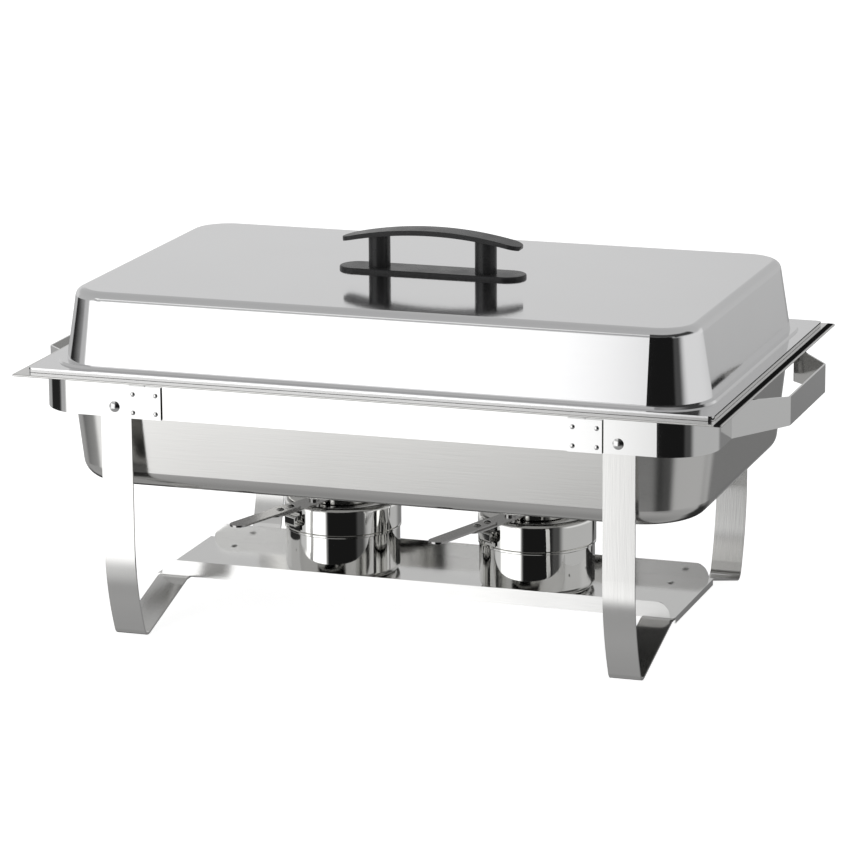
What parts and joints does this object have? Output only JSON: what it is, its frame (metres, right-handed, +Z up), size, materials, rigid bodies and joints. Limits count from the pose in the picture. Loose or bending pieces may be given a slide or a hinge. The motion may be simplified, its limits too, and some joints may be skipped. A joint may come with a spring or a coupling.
{
  "type": "chafing dish food warmer",
  "caption": "Full-size rectangular chafing dish: lidded food pan over a water pan on a folding strip-steel stand, with fuel burners on a low shelf.",
  "frame": {"origin": "on the table, under the middle of the dish", "axes": "+X along the length to the right, +Y from the front to the back, +Z up"},
  "size_m": [0.598, 0.355, 0.3023],
  "materials": {
    "lid_steel": "polished",
    "pan_steel": "satin",
    "ring_steel": "polished",
    "leg_steel": "polished",
    "shelf_steel": "polished",
    "burner_chrome": "mirror polished",
    "snuffer_steel": "polished",
    "fastener_steel": "polished",
    "handle_plastic": "moulded, slightly glossy"
  },
  "bodies": {
    "stand_ring": {"front_left_joint_plate": "ring_steel", "front_rail": "ring_steel", "front_right_joint_plate": "ring_steel", "joint_rivets": "fastener_steel", "left_end_band": "ring_steel", "leg_pivot_rivets": "fastener_steel", "leg_pivot_washers": "fastener_steel", "rear_left_joint_plate": "ring_steel", "rear_rail": "ring_steel", "rear_right_joint_plate": "ring_steel", "right_end_band": "ring_steel"},
    "left_legs": {"left_leg_strip": "leg_steel"},
    "right_legs": {"right_leg_strip": "leg_steel"},
    "shelf": {"fuel_shelf": "shelf_steel", "shelf_locating_pins": "fastener_steel"},
    "water_pan_body": {"water_pan": "pan_steel"},
    "food_pan_body": {"food_pan": "pan_steel"},
    "lid": {"lid_handle_base": "handle_plastic", "lid_handle_grip": "handle_plastic", "lid_handle_nuts": "fastener_steel", "lid_handle_posts": "handle_plastic", "lid_handle_screws": "fastener_steel", "lid_handle_washers": "fastener_steel", "lid_shell": "lid_steel"},
    "left_burner": {"left_fuel_cup": "burner_chrome", "left_cup_cover": "burner_chrome", "left_cup_lug": "burner_chrome", "left_snuffer_pivot": "fastener_steel"},
    "left_snuffer": {"left_snuffer_plate": "snuffer_steel", "left_snuffer_handle": "snuffer_steel", "left_snuffer_rivets": "fastener_steel"},
    "right_burner": {"right_fuel_cup": "burner_chrome", "right_cup_cover": "burner_chrome", "right_cup_lug": "burner_chrome", "right_snuffer_pivot": "fastener_steel"},
    "right_snuffer": {"right_snuffer_plate": "snuffer_steel", "right_snuffer_handle": "snuffer_steel", "right_snuffer_rivets": "fastener_steel"}
  },
  "joints": [
    {"name": "left_leg_fold", "type": "hinge", "parent": "stand_ring", "child": "left_legs", "pos_m": [-0.198, 0, 0.186], "axis": [0, -1, 0], "range_deg": [0, 90]},
    {"name": "right_leg_fold", "type": "hinge", "parent": "stand_ring", "child": "right_legs", "pos_m": [0.198, 0, 0.186], "axis": [0, 1, 0], "range_deg": [0, 90]},
    {"name": "shelf_lift", "type": "slide", "parent": "stand_ring", "child": "shelf", "axis": [0, 0, 1], "range_m": [0, 0.177]},
    {"name": "water_pan_lift", "type": "slide", "parent": "stand_ring", "child": "water_pan_body", "axis": [0, 0, 1], "range_m": [0, 0.182]},
    {"name": "food_pan_lift", "type": "slide", "parent": "water_pan_body", "child": "food_pan_body", "axis": [0, 0, 1], "range_m": [0, 0.09]},
    {"name": "lid_lift", "type": "slide", "parent": "food_pan_body", "child": "lid", "axis": [0, 0, 1], "range_m": [0, 0.12]},
    {"name": "left_burner_lift", "type": "slide", "parent": "shelf", "child": "left_burner", "axis": [0, 0, 1], "range_m": [0, 0.022]},
    {"name": "left_snuffer_swing", "type": "hinge", "parent": "left_burner", "child": "left_snuffer", "pos_m": [-0.08728, -0.03471, 0.087], "axis": [0, 0, 1], "range_deg": [-50, 20]},
    {"name": "right_burner_lift", "type": "slide", "parent": "shelf", "child": "right_burner", "axis": [0, 0, 1], "range_m": [0, 0.022]},
    {"name": "right_snuffer_swing", "type": "hinge", "parent": "right_burner", "child": "right_snuffer", "pos_m": [0.07322, -0.03471, 0.087], "axis": [0, 0, 1], "range_deg": [-50, 20]}
  ],
  "couplings": [
    {"joint": "right_leg_fold", "follows": "left_leg_fold", "ratio": 1},
    {"joint": "shelf_lift", "follows": "left_leg_fold", "m_per_rad": 0.112},
    {"joint": "water_pan_lift", "follows": "left_leg_fold", "m_per_rad": 0.115}
  ]
}
